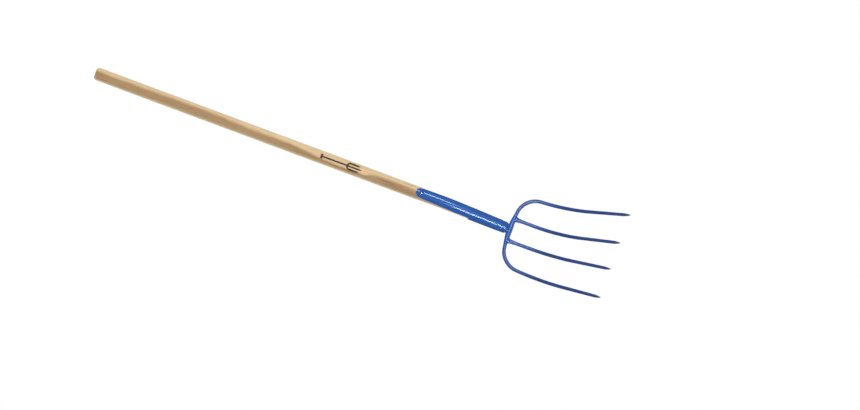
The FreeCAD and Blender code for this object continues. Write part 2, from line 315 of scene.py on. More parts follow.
def stroke_mask(t, along, off, start, end, soft=0.0005):
    """1 on a printed line, off away from its middle, that runs from start to a point at end."""
    half_width = t.math("MULTIPLY", t.ramp(along, end, end - MARK_POINT), MARK_STROKE)
    inside = t.ramp(t.math("SUBTRACT", off, half_width), soft, -soft)
    begun = t.ramp(along, start - soft, start + soft)
    ended = t.ramp(along, end + soft, end - soft)
    return t.math("MULTIPLY", inside, t.math("MULTIPLY", begun, ended))


def fork_mark(t, place, axes):
    """Plain pictogram of a three-tine fork, printed along the handle."""
    upward = (0, math.sin(MARK_FACING), math.cos(MARK_FACING))
    facing = (0, -math.cos(MARK_FACING), math.sin(MARK_FACING))
    along = t.math("SUBTRACT", axes.outputs["X"], MARK_START)
    height = t.math("SUBTRACT", t.vector("DOT_PRODUCT", place, upward), MARK_HEIGHT)
    grip = box_mask(t, along, height, *MARK_GRIP)
    shaft = stroke_mask(t, along, t.math("ABSOLUTE", height), 0.0, MARK_LENGTH)
    # the outer tines and the head's back are one line at a fixed distance from the middle tine
    behind = t.math("MINIMUM", t.math("SUBTRACT", along, MARK_HEAD), 0.0)
    squares = t.math("ADD", t.math("MULTIPLY", behind, behind), t.math("MULTIPLY", height, height))
    off = t.math("ABSOLUTE", t.math("SUBTRACT", t.math("SQRT", squares), MARK_HEAD_RADIUS))
    back = MARK_HEAD - MARK_HEAD_RADIUS - MARK_STROKE
    head = stroke_mask(t, along, off, back, MARK_LENGTH - MARK_STROKE * 2)
    mask = t.math("MAXIMUM", grip, t.math("MAXIMUM", shaft, head))
    front = t.ramp(t.vector("DOT_PRODUCT", place, facing), 0.004, 0.006)
    return t.math("MULTIPLY", mask, front)


def flecks(t, place, axes):
    """Strength of the darker clouds."""
    height = t.vector("DOT_PRODUCT", place, (0, math.sin(MARK_FACING), math.cos(MARK_FACING)))
    total = 0.0
    for at, middle, half_length, half_height, strength in FLECKS:
        across = t.math("DIVIDE", t.math("SUBTRACT", height, middle), half_height)
        along = t.math("DIVIDE", t.math("SUBTRACT", axes.outputs["X"], at), half_length)
        spread = t.math("ADD", t.math("MULTIPLY", across, across), t.math("MULTIPLY", along, along))
        total = t.math("MAXIMUM", total, t.math("MULTIPLY", t.ramp(spread, 1.3, 0.0), strength))
    return total


def figure_shift(t, x):
    """How far the growth layers are shifted at x, by a curve through the points of the figure line."""
    made = t.add("ShaderNodeFloatCurve")
    curve = made.mapping.curves[0]
    length = FIGURE_END - FIGURE_START
    shares = [((at - FIGURE_START) / length, reach / FIGURE_REACH) for at, reach in FIGURE_LINE]
    curve.points[0].location = shares[0]
    curve.points[1].location = shares[-1]
    for share in shares[1:-1]:
        curve.points.new(*share)
    made.mapping.update()
    span = t.add("ShaderNodeMapRange", {"Value": x, "From Min": FIGURE_START, "From Max": FIGURE_END})
    t.give(made.inputs["Value"], span.outputs["Result"])
    return t.math("MULTIPLY", made.outputs["Value"], FIGURE_REACH)


def growth_layer(t, place, x):
    """Place across the growth layers, which lie flat across the stick and wander slowly along it."""
    wander = t.stretched_noise(place, (1.6, 9.0, 9.0), detail=2.0)
    behind = t.ramp(x, FIGURE_START + 0.06, FIGURE_START - 0.10)
    free = t.math("ADD", 0.004, t.math("MULTIPLY", behind, 0.024))  # the layers wander more behind the figure
    drift = t.math("MULTIPLY", t.math("SUBTRACT", wander, 0.5), free)
    ragged = t.stretched_noise(place, (26.0, 120.0, 120.0))
    drift = t.math("ADD", drift, t.math("MULTIPLY", t.math("SUBTRACT", ragged, 0.5), 0.006))
    layer = t.vector("DOT_PRODUCT", place, (0, math.cos(GRAIN_TURN), math.sin(GRAIN_TURN)))
    return t.math("ADD", t.math("ADD", layer, drift), figure_shift(t, x))


def wood_base(t, place, layer):
    """Heartwood and sapwood, browner just under the sapwood and with a redder cloud in places."""
    sapwood = t.ramp(layer, *SAPWOOD_EDGE)
    colour = t.mix(sapwood, HEARTWOOD, SAPWOOD)
    under = t.math("MULTIPLY", t.ramp(layer, 0.0105, 0.0070), t.ramp(layer, -0.0010, 0.0050))
    colour = t.tint(colour, under, 0.30, UNDER_SAPWOOD)
    cloud = t.stretched_noise(place, (11.0, 60.0, 60.0), detail=2.0)
    red = t.math("MULTIPLY", t.ramp(cloud, 0.48, 0.70), t.math("SUBTRACT", 1.0, sapwood))
    return t.tint(colour, red, 0.35, RED_CLOUD)


def painted_rim_sheen(t):
    """1 towards the stick's two outlines, for a painted sheen that makes them paler as if they reflected the
    white floor, but 0 on its end grain.
    """
    surface = t.add("ShaderNodeNewGeometry")
    seen_from = t.vector("NORMALIZE", t.vector("MULTIPLY", surface.outputs["Incoming"], (0, 1, 1)))
    square_on = t.math("ABSOLUTE", t.vector("DOT_PRODUCT", seen_from, surface.outputs["Normal"]))
    end_grain = t.math("ABSOLUTE", t.vector("DOT_PRODUCT", surface.outputs["Normal"], (1, 0, 0)))
    return t.math("MULTIPLY", t.ramp(square_on, 0.92, 0.35), t.ramp(end_grain, 0.9, 0.5))


def varnished_ash():
    t = Tree("varnished_ash")
    place = t.add("ShaderNodeTexCoord").outputs["Object"]
    axes = t.add("ShaderNodeSeparateXYZ", {"Vector": place})
    layer = growth_layer(t, place, axes.outputs["X"])
    ring = t.math("FRACT", t.math("MULTIPLY", layer, RINGS_PER_METRE))
    early = t.ramp(t.math("ABSOLUTE", t.math("SUBTRACT", ring, 0.3)), 0.30, 0.02)
    # open pores: short dark dashes along the grain, only in the early wood
    pores = t.stretched_noise(place, (60.0, 2400.0, 2400.0), detail=2.0, roughness=0.6)
    pores = t.math("MULTIPLY", t.ramp(pores, 0.56, 0.70), early)
    fibre = t.stretched_noise(place, (9.0, 700.0, 700.0), detail=4.0, roughness=0.65)
    broad = t.stretched_noise(place, (2.6, 90.0, 90.0), detail=3.0, roughness=0.55)
    colour = t.mix(flecks(t, place, axes), wood_base(t, place, layer), FLECK)
    colour = t.tint(colour, t.ramp(broad, 0.35, 0.75), 0.35, BROAD_SHADE)
    colour = t.tint(colour, early, 0.20, EARLY_WOOD)
    colour = t.tint(colour, t.ramp(fibre, 0.35, 0.75), 0.18, FIBRE)
    colour = t.tint(colour, pores, 0.45, PORE)
    # painted sheen towards the handle's outlines
    colour = t.tint(colour, painted_rim_sheen(t), 0.80, PAINTED_RIM_SHEEN)
    worn = t.ramp(t.noise(place, 900.0, detail=2.0), 0.24, 0.33)
    ink = t.math("MULTIPLY", fork_mark(t, place, axes), worn)
    colour = t.tint(colour, ink, 0.95, INK)
    # faint cutter marks that cross the stick on the slant
    slant = t.math("ADD", axes.outputs["X"], t.math("MULTIPLY", axes.outputs["Y"], 0.9))
    chatter = t.math("SINE", t.math("MULTIPLY", slant, 2 * math.pi / CUTTER_PITCH))
    height = t.math("ADD", t.math("MULTIPLY", chatter, 0.10), t.math("MULTIPLY", fibre, 0.6))
    height = t.math("SUBTRACT", height, t.math("MULTIPLY", pores, 0.8))
    rough = t.math("ADD", 0.42, t.math("MULTIPLY", fibre, 0.16))
    normal = t.bump(height, 0.00018, 0.6)
    return t.finish(Base_Color=colour, Roughness=rough, Normal=normal, Specular_IOR_Level=0.25)


LIGHT_BLUE = rgb(44, 99, 183)
DARK_BLUE = rgb(38, 90, 170)
SPECK = rgb(18, 48, 110)
# painted shade: the paint goes darker and greyer where it is seen edge-on
EDGE_SHADE_BLUE = rgb(38, 58, 100)
# painted highlight on the inner tines' roots
ROOT_HIGHLIGHT_BLUE = rgb(104, 114, 174)
# painted shade on the two bends, strongest where they are seen edge-on
BEND_SHADE_BLUE = rgb(46, 66, 116)
# darker paint along the tines, with painted shade where they rise away from the light
DARKER_TINE_PAINT_AND_SHADE = rgb(48, 70, 130)
# painted shadow line on the sheet's cut edges
CUT_EDGE_SHADE = rgb(48, 56, 76)
# painted shade in the dimple round the rivet
RIVET_DIMPLE_SHADE = rgb(24, 36, 66)
BARE_STEEL = rgb(104, 106, 112)
SHEET_EDGE_SHADE = (0.28, 0.76)  # how far edge-on the painted shade begins, and where it is full
TINE_EDGE_SHADE = (0.38, 0.88)
ROOTS_BEGIN = (0.002, 0.008)  # these four are metres in front of the crossbar's middle
ROOTS_END = (0.020, 0.060)
BENDS_END = (0.04, 0.10)
TINE_DARKENING = (0.015, 0.13)
BENDS_SIDE = (0.045, 0.075)  # and this one to either side of it
GROUND_BARE = (0.012, 0.004)  # metres short of the points


def enamel_colour(t, place, cloud, edgeways, edge_shade):
    """Plain paint, with painted shade where it is seen edge-on, as if it reflected dark surroundings."""
    colour = t.mix(t.ramp(cloud, 0.30, 0.72), LIGHT_BLUE, DARK_BLUE)
    speck = t.ramp(t.noise(place, 1500.0, detail=1.0), 0.70, 0.78)
    colour = t.tint(colour, speck, 0.4, SPECK)
    # painted shade where the paint is seen edge-on
    return t.tint(colour, t.ramp(edgeways, *edge_shade), 0.90, EDGE_SHADE_BLUE)


def tine_colour(t, axes, edgeways, colour):
    """Pale at the inner tines' roots as a painted highlight, darker on the two bends as painted shade, and
    darker along the tines, partly as painted shade.
    """
    bar = BAR_CENTRE.x * MM
    ahead = t.math("SUBTRACT", axes.outputs["X"], bar)
    # painted highlight on the inner tines' roots
    roots = t.math("MULTIPLY", t.ramp(ahead, *reversed(ROOTS_END)), t.ramp(ahead, *ROOTS_BEGIN))
    colour = t.tint(colour, roots, 0.55, ROOT_HIGHLIGHT_BLUE)
    side = t.ramp(t.math("ABSOLUTE", axes.outputs["Y"]), *BENDS_SIDE)
    bends = t.math("MULTIPLY", side, t.ramp(ahead, *reversed(BENDS_END)))
    # painted shade on the bends, stronger towards their edge-on sides
    bend_shade = t.math("ADD", 0.25, t.math("MULTIPLY", t.ramp(edgeways, 0.20, 0.60), 0.55))
    colour = t.mix(t.math("MULTIPLY", bends, bend_shade), colour, BEND_SHADE_BLUE)
    # darker paint along the tines, partly painted shade where they rise away from the light
    return t.tint(colour, t.ramp(ahead, *TINE_DARKENING), 0.85, DARKER_TINE_PAINT_AND_SHADE)


def bare_points(t, axes, cloud):
    """1 on the points, beyond the ragged line where the paint is ground off."""
    ragged = t.math("MULTIPLY", t.math("SUBTRACT", cloud, 0.5), 0.016)
    place = t.math("ADD", axes.outputs["X"], ragged)
    tip = BOW_HIGH.x * MM
    return t.ramp(place, tip - GROUND_BARE[0], tip - GROUND_BARE[1])


def sheet_colour(t, place, axes, colour):
    """Dark on the sheet's cut edges as a painted shadow line, and painted shade in the dimple round the
    rivet.
    """
    bend = (BEND_START_X + BEND_LENGTH / 2) * MM
    beyond = t.math("MAXIMUM", t.math("SUBTRACT", axes.outputs["X"], bend), 0.0)
    drop = t.math("MULTIPLY", beyond, math.tan(BEND_ANGLE))
    raised = t.add("ShaderNodeCombineXYZ", {"Y": axes.outputs["Y"]})
    t.give(raised.inputs["Z"], t.math("ADD", axes.outputs["Z"], drop))
    outward = t.vector("NORMALIZE", raised.outputs["Vector"])
    normal = t.add("ShaderNodeNewGeometry").outputs["Normal"]
    square = t.math("ABSOLUTE", t.vector("DOT_PRODUCT", outward, normal))
    before_nose = t.ramp(axes.outputs["X"], NOSE_X * MM - 0.006, NOSE_X * MM - 0.010)
    cut = t.math("MULTIPLY", t.ramp(square, 0.85, 0.35), before_nose)
    # painted shadow line on the sheet's cut edges
    colour = t.tint(colour, cut, 0.9, CUT_EDGE_SHADE)
    seat = Vector((0, -math.sin(STRAP_SKEW), math.cos(STRAP_SKEW))) * SOCKET_RADIUS
    rivet = Vector((TIP_X + RIVET_FROM_TIP, 0, 0)) + seat
    reach = t.add("ShaderNodeVectorMath", operation="DISTANCE")
    t.give(reach.inputs[0], place)
    t.give(reach.inputs[1], rivet * MM)
    # painted shade in the dimple round the rivet
    dimple_shade = t.ramp(reach.outputs["Value"], DIMPLE_RADIUS * MM, DIMPLE_FLOOR * MM)
    return t.tint(colour, dimple_shade, 0.7, RIVET_DIMPLE_SHADE)


def blue_enamel(name, tines=False, sheet=False):
    """Glossy paint, for the tines, for the socket's sheet or, without either, for the welds."""
    t = Tree(name)
    place = t.add("ShaderNodeTexCoord").outputs["Object"]
    axes = t.add("ShaderNodeSeparateXYZ", {"Vector": place})
    cloud = t.noise(place, 35.0, detail=4.0, roughness=0.6)
    orange_peel = t.noise(place, 420.0, detail=2.0)
    sags = t.noise(place, 110.0, detail=3.0, roughness=0.55)
    edgeways = t.add("ShaderNodeLayerWeight", {"Blend": 0.5}).outputs["Facing"]
    colour = enamel_colour(t, place, cloud, edgeways, SHEET_EDGE_SHADE if sheet else TINE_EDGE_SHADE)
    rough = t.math("ADD", 0.16, t.math("MULTIPLY", cloud, 0.07))
    metallic = 0.0
    if sheet:
        colour = sheet_colour(t, place, axes, colour)
    if tines:
        bare = bare_points(t, axes, cloud)
        colour = t.mix(bare, tine_colour(t, axes, edgeways, colour), BARE_STEEL)
        rough = t.math("ADD", t.math("ADD", rough, 0.10), t.math("MULTIPLY", bare, 0.25))
        metallic = t.math("MULTIPLY", bare, 0.6)
    height = t.math("ADD", t.math("MULTIPLY", orange_peel, 0.35), sags)
    bumps = t.bump(height, 0.00015, 0.3)
    return t.finish(Base_Color=colour, Roughness=rough, Metallic=metallic, Normal=bumps,
                    Specular_Tint=(0.72, 0.86, 1, 1), Specular_IOR_Level=0.4 if tines else 0.5)


def bright_zinc():
    t = Tree("bright_zinc")
    place = t.add("ShaderNodeTexCoord").outputs["Object"]
    grain = t.noise(place, 900.0, detail=3.0)
    colour = t.mix(grain, rgb(186, 190, 196), rgb(216, 219, 222))
    rough = t.math("ADD", 0.22, t.math("MULTIPLY", grain, 0.2))
    normal = t.bump(grain, 0.0002, 0.3)
    return t.finish(Base_Color=colour, Metallic=1.0, Roughness=rough, Normal=normal)


def finish_node(node, material):
    """Gives a CAD node's object its material, and leaves its mesh alone."""
    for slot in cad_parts[node].material_slots:
        slot.link = "OBJECT"
        slot.material = material


# ---- mesh tools -----------------------------------------------------------------------------------
def smoothstep(share):
    share = min(1.0, max(0.0, share))
    return share * share * (3 - 2 * share)


def steps(start, end, spacing):
    """Even values from start to end, about spacing apart, both ends included."""
    count = max(1, round(abs(end - start) / spacing))
    return [start + (end - start) * i / count for i in range(count + 1)]


def make_piece(name, points, faces, material, *nodes):
    """Object from points in millimetres, riding on the fork and standing for the given CAD nodes."""
    mesh = bpy.data.meshes.new(name)
    mesh.from_pydata([point * MM for point in points], [], faces)
    mesh.shade_smooth()
    mesh.materials.append(material)
    made = bpy.data.objects.new(name, mesh)
    bpy.context.scene.collection.objects.link(made)
    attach(made, "root")
    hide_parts(*nodes)
    return made


def tube(stations, sides, relief):
    """Closed tube through (centre, direction, half width, half thickness) stations, its width level."""
    points, faces = [], []
    for centre, direction, half_width, half_thickness in stations:
        level = UP.cross(direction).normalized()
        upright = direction.cross(level).normalized()
        for side in range(sides):
            turn = 2 * math.pi * side / sides
            arm = level * (half_width * math.cos(turn)) + upright * (half_thickness * math.sin(turn))
            point = centre + arm
            points.append(point + arm.normalized() * relief(point))
    for row in range(len(stations) - 1):
        for side in range(sides):
            a, b = row * sides + side, row * sides + (side + 1) % sides
            faces.append((a, b, b + sides, a + sides))
    last = (len(stations) - 1) * sides
    for side in range(sides):
        other = (side + 1) % sides
        faces.append((other, side, len(points)))
        faces.append((last + side, last + other, len(points) + 1))
    points += [stations[0][0].copy(), stations[-1][0].copy()]
    return points, faces


def forged(point):
    """Thickness of the paint, over the slight unevenness of drawn and hammered steel."""
    return PAINT_THICKNESS + sum(height * noise.noise(point / wave) for wave, height in UNEVENNESS)


# ---- tine head ------------------------------------------------------------------------------------
def bar_station(heading):
    share = smoothstep(abs(heading) / math.asin(BAR_HALF_SPAN / BAR_RADIUS))
    offset = Vector((BAR_RADIUS * (1 - math.cos(heading)), BAR_RADIUS * math.sin(heading), 0))
    direction = Vector((math.sin(heading), math.cos(heading), 0))
    half_width = BAR_HALF_DEPTH + share * (TINE_ROOT_RADIUS - BAR_HALF_DEPTH)
    half_thickness = BAR_HALF_THICKNESS + share * (TINE_ROOT_RADIUS - BAR_HALF_THICKNESS)
    return BAR_CENTRE + offset, direction, half_width, half_thickness


def shoulder_stations():
    """Left shoulder of the bow."""
    first = math.asin(BAR_HALF_SPAN / BAR_RADIUS)
    last = math.pi / 2 - OUTER_HEADING
    pivot = bar_station(first)[0] + Vector((math.cos(first), -math.sin(first), 0)) * SHOULDER_RADIUS
    made = []
    for heading in steps(first, last, BEND_SPACING / SHOULDER_RADIUS):
        direction = Vector((math.sin(heading), math.cos(heading), 0))
        centre = pivot + Vector((-math.cos(heading), math.sin(heading), 0)) * SHOULDER_RADIUS
        share = (heading - first) / (last - first)
        radius = TINE_ROOT_RADIUS + BEND_SWELL * math.sin(math.pi * share)
        made.append((centre, direction, radius, radius))
    return made


def tine_stations(start, heading, lean, rise_angle):
    """Round tine: level, swept up, then straight to a ground point with a blunt round tip."""
    ahead = Vector((math.cos(heading), math.sin(heading), 0))
    leaning = Vector((-math.sin(heading), math.cos(heading), 0)) * math.sin(lean)
    rising = leaning + UP * math.cos(lean)
    level = (RISE_START - (start.x - BAR_CENTRE.x)) / ahead.x
    line = [(start + ahead * run, ahead, run) for run in steps(0, level, TINE_SPACING)]
    foot = line[-1][0]
    for angle in steps(0, rise_angle, TINE_SPACING / RISE_RADIUS)[1:]:
        offset = ahead * math.sin(angle) + rising * (1 - math.cos(angle))
        direction = ahead * math.cos(angle) + rising * math.sin(angle)
        line.append((foot + offset * RISE_RADIUS, direction, level + RISE_RADIUS * angle))
    centre, direction, travelled = line[-1]
    straight = (BOW_HIGH.x - centre.x) / direction.x - POINT_LENGTH - POINT_RADIUS
    for run in steps(0, straight, TINE_SPACING)[1:]:
        line.append((centre + direction * run, direction, travelled + run))
    centre, direction, total = line[-1]
    made = []
    for point, along, travelled in line:
        radius = TINE_ROOT_RADIUS + (TINE_END_RADIUS - TINE_ROOT_RADIUS) * (travelled / total) ** 2
        made.append((point, along, radius, radius))
    for run in steps(0, POINT_LENGTH, POINT_SPACING)[1:]:
        radius = POINT_RADIUS + (TINE_END_RADIUS - POINT_RADIUS) * (1 - run / POINT_LENGTH) ** 0.6
        made.append((centre + direction * run, direction, radius, radius))
    for turn in (30, 60, 80):
        run = POINT_LENGTH + POINT_RADIUS * math.sin(math.radians(turn))
        radius = POINT_RADIUS * math.cos(math.radians(turn))
        made.append((centre + direction * run, direction, radius, radius))
    return made


def make_bow(material):
    last = math.asin(BAR_HALF_SPAN / BAR_RADIUS)
    shoulder = shoulder_stations()
    left = [bar_station(heading) for heading in steps(0, last, BEND_SPACING / BAR_RADIUS)] + shoulder[1:]
    left += tine_stations(shoulder[-1][0], OUTER_HEADING, OUTER_LEAN, OUTER_RISE_ANGLE)[1:]
    right = []
    for centre, direction, half_width, half_thickness in reversed(left[1:]):
        mirrored = Vector((centre.x, -centre.y, centre.z))
        back = Vector((-direction.x, direction.y, -direction.z))
        right.append((mirrored, back, half_width, half_thickness))
    points, faces = tube(right + left, TUBE_SIDES, forged)
    make_piece("bow_steel", points, faces, material, "tine_bow")


def make_inner_tine(side, name, node, material):
    start = BAR_CENTRE + ACROSS * (side * INNER_ROOT_Y)
    ahead = Vector((1, 0, 0))
    stations = []
    for run in steps(INNER_ROOT_START, INNER_ROOT_LENGTH, BEND_SPACING):
        share = smoothstep(run / INNER_ROOT_LENGTH)
        half_width = INNER_ROOT_HALF_WIDTH + share * (TINE_ROOT_RADIUS - INNER_ROOT_HALF_WIDTH)
        half_thickness = INNER_ROOT_HALF_THICKNESS + share * (TINE_ROOT_RADIUS - INNER_ROOT_HALF_THICKNESS)
        stations.append((start + ahead * run, ahead, half_width, half_thickness))
    root_end = start + ahead * INNER_ROOT_LENGTH
    stations += tine_stations(root_end, 0.0, side * INNER_LEAN, INNER_RISE_ANGLE)[1:]
    points, faces = tube(stations, TUBE_SIDES, forged)
    make_piece(name, points, faces, material, node)


def make_inner_welds(material):
    """Fillet of weld round each inner tine's root, laid in short overlapping runs."""
    first, last = INNER_WELD_PROFILE[0][0], INNER_WELD_PROFILE[-1][0]
    points, faces = [], []
    for side in (1, -1):
        root = BAR_CENTRE + ACROSS * (side * INNER_ROOT_Y)

        def ripple(point):
            arm = point - root
            turn = math.atan2(arm.z * 1.8, arm.y)
            scallop = abs(math.sin(turn * 6 + arm.x * 0.5))
            fade = smoothstep((arm.x - first) / 2) * smoothstep((last - arm.x) / 2.5)
            rough = RIPPLE_ROUGHNESS * noise.noise(point / 2.5)
            return fade * (RIPPLE_HEIGHT * scallop - RIPPLE_SINK + rough)

        stations = []
        for (x0, w0, t0), (x1, w1, t1) in zip(INNER_WELD_PROFILE, INNER_WELD_PROFILE[1:]):
            for share in (0.0, 0.25, 0.5, 0.75):
                centre = root + Vector((x0 + (x1 - x0) * share, 0, 0))
                stations.append((centre, Vector((1, 0, 0)), w0 + (w1 - w0) * share, t0 + (t1 - t0) * share))
        collar_points, collar_faces = tube(stations, INNER_WELD_SIDES, ripple)
        faces += [tuple(corner + len(points) for corner in face) for face in collar_faces]
        points += collar_points
    make_piece("inner_weld_beads", points, faces, material, "inner_tine_welds")


# ---- socket ---------------------------------------------------------------------------------------
def neck(x):
    """Point of the neck's centre line at x, and the direction up across it there."""
    radius = BEND_LENGTH / math.sin(BEND_ANGLE)
    run = x - BEND_START_X
    if run <= 0:
        return Vector((x, 0, 0)), UP.copy()
    angle = BEND_ANGLE if run >= BEND_LENGTH else math.asin(run / radius)
    drop = radius * (1 - math.cos(angle)) + max(0.0, run - BEND_LENGTH) * math.tan(BEND_ANGLE)
    return Vector((x, 0, -drop)), Vector((math.sin(angle), 0, math.cos(angle)))


def strap_half_width(run):
    for (run0, width0), (run1, width1) in zip(STRAP_HALF_WIDTHS, STRAP_HALF_WIDTHS[1:]):
        if run <= run1:
            return width0 + (width1 - width0) * max(0.0, run - run0) / (run1 - run0)
    return STRAP_HALF_WIDTHS[-1][1]


def sheet_radius(x):
    """Outside radius of the socket, with its pressed crease."""
    share = max(0.0, (x - BEND_END_X) / (NOSE_X - BEND_END_X))
    crease = CREASE_DEPTH * smoothstep((x - CREASE_X) / CREASE_LENGTH)
    return SOCKET_RADIUS + share * (NOSE_RADIUS - SOCKET_RADIUS) - crease


def sheet_points(x, turn, sunk=0.0):
    """Outer and inner point of the sheet at x, turned from the middle of the strap towards +Y."""
    centre, up = neck(x)
    arm = ACROSS * math.sin(turn - STRAP_SKEW) + up * math.cos(turn - STRAP_SKEW)
    radius = sheet_radius(x) - sunk
    return centre + arm * radius, centre + arm * (radius - SHEET)


def strap_points(run, width):
    """The same for the strap, width measured round the curve, with the dimple round the rivet."""
    reach = math.hypot(run - RIVET_FROM_TIP, width)
    sunk = DIMPLE_DEPTH * (1 - smoothstep((reach - DIMPLE_FLOOR) / (DIMPLE_RADIUS - DIMPLE_FLOOR)))
    return sheet_points(TIP_X + run, width / SOCKET_RADIUS, sunk)


class Sheet:
    """Mesh of a sheet: outer and inner points in pairs, and the faces of its outer side."""

    def __init__(self):
        self.pairs = []
        self.faces = []

    def add(self, pairs):
        first = len(self.pairs)
        self.pairs.extend(pairs)
        return list(range(first, len(self.pairs)))

    def join(self, row, next_row):
        for a, b, c, d in zip(row, row[1:], next_row[1:], next_row):
            self.faces.append((a, d, c, b))

    def solid(self):
        """Points and faces of the closed sheet, with its rim all round."""
        count = len(self.pairs)
        edges = set()
        for face in self.faces:
            edges.update(zip(face, face[1:] + face[:1]))
        inner = [tuple(corner + count for corner in reversed(face)) for face in self.faces]
        rim = [(b, a, a + count, b + count) for a, b in sorted(edges) if (b, a) not in edges]
        return [pair[0] for pair in self.pairs] + [pair[1] for pair in self.pairs], self.faces + inner + rim


def add_strap_tip(sheet):
    """Round tip as rings about the middle of its arc; returns its straight end as a row."""
    rings = []
    middle = sheet.add([strap_points(STRAP_TIP_RADIUS, 0.0)])[0]
    for ring in range(1, STRAP_RINGS + 1):
        reach = STRAP_TIP_RADIUS * ring / STRAP_RINGS
        turns = steps(-math.pi / 2, math.pi / 2, math.pi / TIP_COLUMNS)
        points = [strap_points(STRAP_TIP_RADIUS - reach * math.cos(a), reach * math.sin(a)) for a in turns]
        rings.append(sheet.add(points))
    for a, b in zip(rings[0], rings[0][1:]):
        sheet.faces.append((a, middle, b))
    for ring, outer_ring in zip(rings, rings[1:]):
        sheet.join(outer_ring, ring)
    return [ring[0] for ring in reversed(rings)] + [middle] + [ring[-1] for ring in rings]


def wrap_turns():
    """Turns of the full wrap's columns, from the seam's right edge over the top to its left edge, and
    how many of them lie right of the strap."""
    edge = strap_half_width(STRAP_LENGTH) / SOCKET_RADIUS
    seam = math.pi - SEAM_GAP / 2 / SOCKET_RADIUS
    right = steps(STRAP_SKEW - seam, -edge, (seam - edge) / SIDE_COLUMNS)[:-1]
    left = steps(edge, STRAP_SKEW + seam, (seam - edge) / SIDE_COLUMNS)[1:]
    return right + steps(-edge, edge, edge / STRAP_RINGS) + left, len(right)


def make_socket(material):
    """Strap, full wrap and closed nose as one sheet."""
    sheet = Sheet()
    row = add_strap_tip(sheet)
    near_rivet = steps(STRAP_TIP_RADIUS, 2 * STRAP_TIP_RADIUS, 0.8)[1:]
    for run in near_rivet + steps(near_rivet[-1], STRAP_LENGTH, 3.0)[1:]:
        half_width = strap_half_width(run)
        widths = steps(-half_width, half_width, half_width / STRAP_RINGS)
        next_row = sheet.add([strap_points(run, width) for width in widths])
        sheet.join(row, next_row)
        row = next_row
    turns, count = wrap_turns()
    right = sheet.add([sheet_points(MOUTH_X, turn) for turn in turns[:count]])
    left = sheet.add([sheet_points(MOUTH_X, turn) for turn in turns[count + len(row):]])
    row = right + row + left
    places = steps(MOUTH_X, CREASE_X - 2, 3.0) + steps(CREASE_X - 2, CREASE_X + 4, 0.4)[1:]
    places += steps(CREASE_X + 4, NOSE_X, 2.0)[1:]
    for x in places[1:]:
        next_row = sheet.add([sheet_points(x, turn) for turn in turns])
        sheet.join(row, next_row)
        row = next_row
    close_nose(sheet, row, turns)
    socket = make_piece("socket_sheet", *sheet.solid(), material, "socket")
    rounding = socket.modifiers.new("rounding", "BEVEL")
    rounding.width = EDGE_ROUNDING * MM
    rounding.segments = 3
    rounding.limit_method = "ANGLE"
    rounding.angle_limit = math.radians(50)
    socket.modifiers.new("shading", "WEIGHTED_NORMAL")


def close_nose(sheet, row, turns):
    """Rounds the socket's end over to a flat disc, closing the seam as well."""
    centre, up = neck(NOSE_X)
    ahead = ACROSS.cross(up)
    gap = 2 * math.pi - (turns[-1] - turns[0])
    turns = turns + [turns[-1] + gap / 3, turns[-1] + 2 * gap / 3]
    row = row + sheet.add([sheet_points(NOSE_X, turn) for turn in turns[len(row):]])
    start = sheet_radius(NOSE_X)
    rings = []
    for angle in steps(0, math.pi / 2, math.pi / 16)[1:]:
        run = math.sin(angle)
        radius = NOSE_FLAT_RADIUS + (start - NOSE_FLAT_RADIUS) * math.cos(angle)
        inner = NOSE_FLAT_RADIUS - SHEET / 2 + (start - SHEET / 2 - NOSE_FLAT_RADIUS) * math.cos(angle)
        rings.append((run, radius, inner))
    rings += [(1.0, NOSE_FLAT_RADIUS * share, (NOSE_FLAT_RADIUS - SHEET / 2) * share) for share in (0.7, 0.4)]
    for run, radius, inner in rings:
        pairs = []
        for turn in turns:
            arm = ACROSS * math.sin(turn - STRAP_SKEW) + up * math.cos(turn - STRAP_SKEW)
            outer_point = centre + ahead * (NOSE_LENGTH * run) + arm * radius
            pairs.append((outer_point, centre + ahead * ((NOSE_LENGTH - SHEET) * run) + arm * inner))
        next_row = sheet.add(pairs)
        sheet.join(row + row[:1], next_row + next_row[:1])
        row = next_row
    middle = sheet.add([(centre + ahead * NOSE_LENGTH, centre + ahead * (NOSE_LENGTH - SHEET))])[0]
    for a, b in zip(row, row[1:] + row[:1]):
        sheet.faces.append((a, middle, b))


def make_socket_weld(material):
    """Rippled bead all round between the socket's nose and the back of the crossbar."""
    centre, up = neck(NOSE_END_X + WELD_AHEAD)
    ahead = ACROSS.cross(up)
    points, faces = [], []
    for i in range(BEAD_COLUMNS):
        turn = 2 * math.pi * i / BEAD_COLUMNS
        cos, sin = math.cos(turn), math.sin(turn)
        middle = centre + ACROSS * (WELD_HALF_WIDTH * cos) + up * (WELD_HALF_THICKNESS * sin)
        outward = (ACROSS * (WELD_HALF_THICKNESS * cos) + up * (WELD_HALF_WIDTH * sin)).normalized()
        next_column = (i + 1) % BEAD_COLUMNS
        for j in range(BEAD_ROWS):
            angle = 2 * math.pi * j / BEAD_ROWS
            scallop = abs(math.sin(BEAD_RIPPLES * turn + 0.5 * math.sin(angle)))
            swell = 0.92 + 0.16 * scallop + 0.05 * noise.noise(middle / 3)
            arm = outward * (BEAD_OUTWARD * math.cos(angle)) + ahead * (BEAD_AHEAD * math.sin(angle))
            points.append(middle + arm * swell)
            next_row = (j + 1) % BEAD_ROWS
            near = (i * BEAD_ROWS + j, i * BEAD_ROWS + next_row)
            far = (next_column * BEAD_ROWS + next_row, next_column * BEAD_ROWS + j)
            faces.append(near + far)
    make_piece("socket_weld_bead", points, faces, material, "socket_weld")


# ---- stage ----------------------------------------------------------------------------------------
WORLD_LEVEL = 0.55
WORLD_IN_REFLECTIONS = 0.10
FLOOR_GLOW = 0.80
FLOOR_IN_REFLECTIONS = 0.10
BACKDROP = 1.0  # what the camera sees of floor and world
LIT_PLACE = Vector((0.6, 0, 0))  # the lights aim here, where strap and head meet


